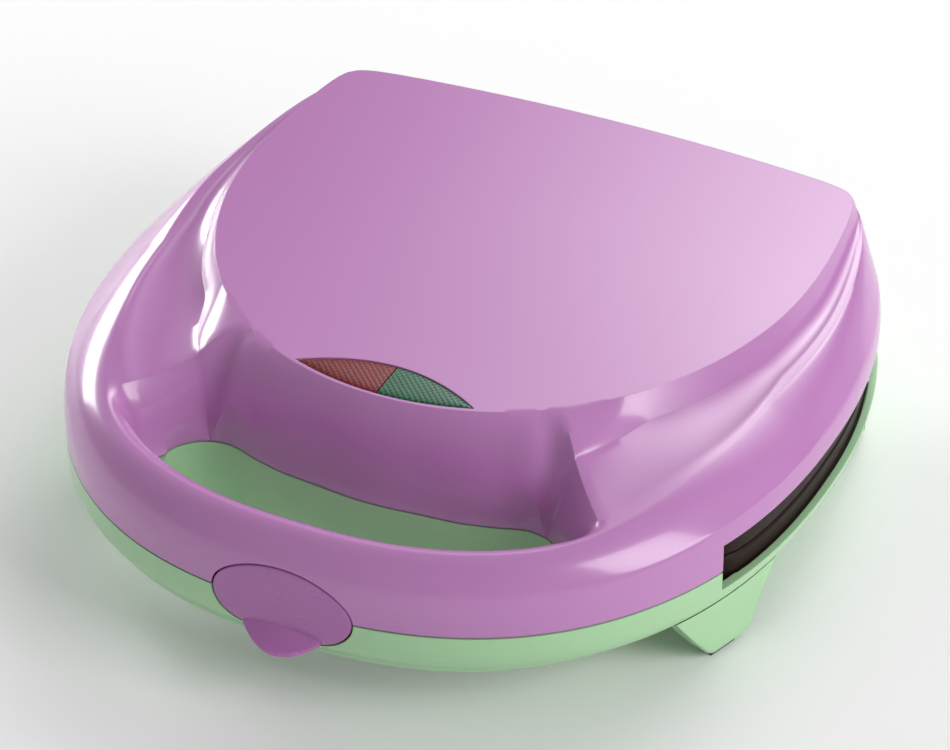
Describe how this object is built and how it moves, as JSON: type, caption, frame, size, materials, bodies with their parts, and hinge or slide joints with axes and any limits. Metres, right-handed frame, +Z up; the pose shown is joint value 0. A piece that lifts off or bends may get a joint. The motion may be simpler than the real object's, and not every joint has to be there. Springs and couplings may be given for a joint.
{
  "type": "donut maker",
  "caption": "Table-top donut maker: hinged lilac lid with a carrying handle and oval front latch on a mint base, ring-shaped baking moulds inside, two-colour signal lens.",
  "frame": {"origin": "on the table under the middle of the object's bounding box", "axes": "+Z up, -Y towards the handle and latch at the front, +X to the right seen from the front"},
  "size_m": [0.2498, 0.263, 0.0745],
  "materials": {
    "mint_plastic": "gloss moulded plastic, mint green",
    "lilac_plastic": "high gloss moulded plastic, lilac",
    "latch_plastic": "gloss moulded plastic, deeper lilac",
    "nonstick": "dark non-stick coating on a die-cast plate",
    "aluminium": "bright pressed sheet",
    "steel": "plated steel",
    "red_lens": "clear red lens with a diamond pattern",
    "green_lens": "clear green lens with a diamond pattern",
    "black_plastic": "matt moulded plastic",
    "rubber": "moulded rubber",
    "ceramic": "unglazed ceramic",
    "lamp_glass": "clear lamp glass"
  },
  "bodies": {
    "base": {"base_bottom_cover": "mint_plastic", "base_shell": "mint_plastic", "catch_plate": "steel", "cord_grommet": "black_plastic", "cover_screw_front_left": "steel", "cover_screw_front_right": "steel", "cover_screw_rear_left": "steel", "cover_screw_rear_right": "steel", "foot_front_left": "mint_plastic", "foot_front_right": "mint_plastic", "foot_pad_front_left": "rubber", "foot_pad_front_right": "rubber", "foot_pad_rear_left": "rubber", "foot_pad_rear_right": "rubber", "foot_rear_left": "mint_plastic", "foot_rear_right": "mint_plastic", "hinge_pin_left": "steel", "hinge_pin_right": "steel", "lower_baking_plate": "nonstick", "lower_heater": "steel", "lower_plate_screw_front_left": "steel", "lower_plate_screw_front_right": "steel", "lower_plate_screw_rear_left": "steel", "lower_plate_screw_rear_right": "steel", "lower_reflector": "aluminium", "terminal_block": "ceramic", "thermostat": "steel"},
    "lid": {"lamp_left": "lamp_glass", "lamp_right": "lamp_glass", "latch_pin": "steel", "latch_spring": "steel", "lens_holder": "black_plastic", "lens_left_red": "red_lens", "lens_right_green": "green_lens", "lid_shell": "lilac_plastic", "thermal_fuse": "ceramic", "upper_baking_plate": "nonstick", "upper_heater": "steel", "upper_plate_screw_front_left": "steel", "upper_plate_screw_front_right": "steel", "upper_plate_screw_rear_left": "steel", "upper_plate_screw_rear_right": "steel", "upper_reflector": "aluminium"},
    "latch": {"latch": "latch_plastic"}
  },
  "joints": [
    {"name": "lid_hinge", "type": "hinge", "parent": "base", "child": "lid", "pos_m": [0, 0.12555, 0.036], "axis": [-1, 0, 0], "range_deg": [0, 100]},
    {"name": "latch_pivot", "type": "hinge", "parent": "lid", "child": "latch", "pos_m": [0, -0.11955, 0.045], "axis": [-1, 0, 0], "range_deg": [0, 12], "stiffness_Nm_per_rad": 0.05, "springref_deg": -17.19}
  ]
}
